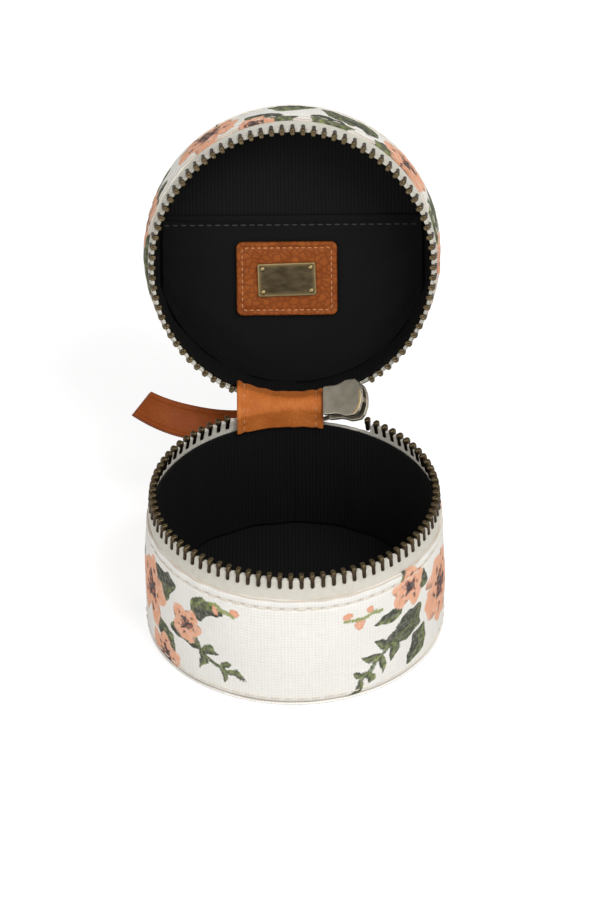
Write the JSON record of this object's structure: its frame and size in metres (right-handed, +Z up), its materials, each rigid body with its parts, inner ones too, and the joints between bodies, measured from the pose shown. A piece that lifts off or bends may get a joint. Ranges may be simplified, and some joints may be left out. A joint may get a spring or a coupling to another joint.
{
  "type": "bobbin box",
  "caption": "Round sewn canvas case for bobbins and sewing notions, with a leather-hinged lid, an inner lid pocket, a metal zipper and a leather pull.",
  "frame": {"origin": "centre of the case's underside, on the table", "axes": "+Z up, +Y towards the hinge at the back, -Y the front, +X to the right; rest pose has the lid open"},
  "size_m": [0.0802, 0.1194, 0.1089],
  "materials": {
    "canvas": null,
    "tape": "woven zipper tape",
    "lining": "black ribbed lining",
    "foam": "closed-cell foam stiffener",
    "board": "grey board",
    "brass": "antique brass",
    "gunmetal": "dark nickel plated",
    "hinge_leather": "soft tan leather",
    "patch_leather": "grained tan leather",
    "pull_leather": "smooth brown leather"
  },
  "bodies": {
    "base": {"base_wall_canvas": "canvas", "base_bottom_canvas": "canvas", "base_wall_stiffener": "foam", "base_bottom_board": "board", "base_wall_lining": "lining", "base_floor_lining": "lining", "base_zipper_tape": "tape", "base_zipper_teeth": "brass"},
    "lid": {"lid_wall_canvas": "canvas", "lid_top_canvas": "canvas", "lid_wall_stiffener": "foam", "lid_top_board": "board", "lid_wall_lining": "lining", "lid_top_lining": "lining", "lid_pocket": "lining", "pocket_hem": "lining", "leather_patch": "patch_leather", "brass_plate": "brass", "plate_pins": "brass", "lid_zipper_tape": "tape", "lid_zipper_teeth": "brass"},
    "hinge": {"hinge_leather": "hinge_leather"},
    "slider": {"slider_body": "gunmetal", "slider_bridge": "gunmetal"},
    "link": {"pull_link": "gunmetal"},
    "pull": {"leather_pull": "pull_leather"}
  },
  "joints": [
    {"name": "lid_hinge", "type": "hinge", "parent": "base", "child": "lid", "pos_m": [0, 0.03684, 0.0394], "axis": [1, 0, 0], "range_deg": [0, 109.5], "deforming": ["hinge_leather"]},
    {"name": "hinge_fold", "type": "hinge", "parent": "base", "child": "hinge", "pos_m": [0, 0.03684, 0.0394], "axis": [1, 0, 0], "range_deg": [0, 54.75]},
    {"name": "slider_travel", "type": "hinge", "parent": "hinge", "child": "slider", "pos_m": [0, 0.01558, 0.06949], "axis": [0, -0.8166, -0.5771], "range_deg": [0, 295]},
    {"name": "pull_swing", "type": "hinge", "parent": "slider", "child": "link", "pos_m": [0.01468, 0.03655, 0.0398], "axis": [0, -0.8166, -0.5771], "range_deg": [0, 150]},
    {"name": "strap_swing", "type": "hinge", "parent": "link", "child": "pull", "pos_m": [0.00434, 0.04029, 0.03452], "axis": [0, -0.8166, -0.5771], "range_deg": [0, 30]}
  ],
  "couplings": [
    {"joint": "hinge_fold", "follows": "lid_hinge", "ratio": 0.5}
  ]
}
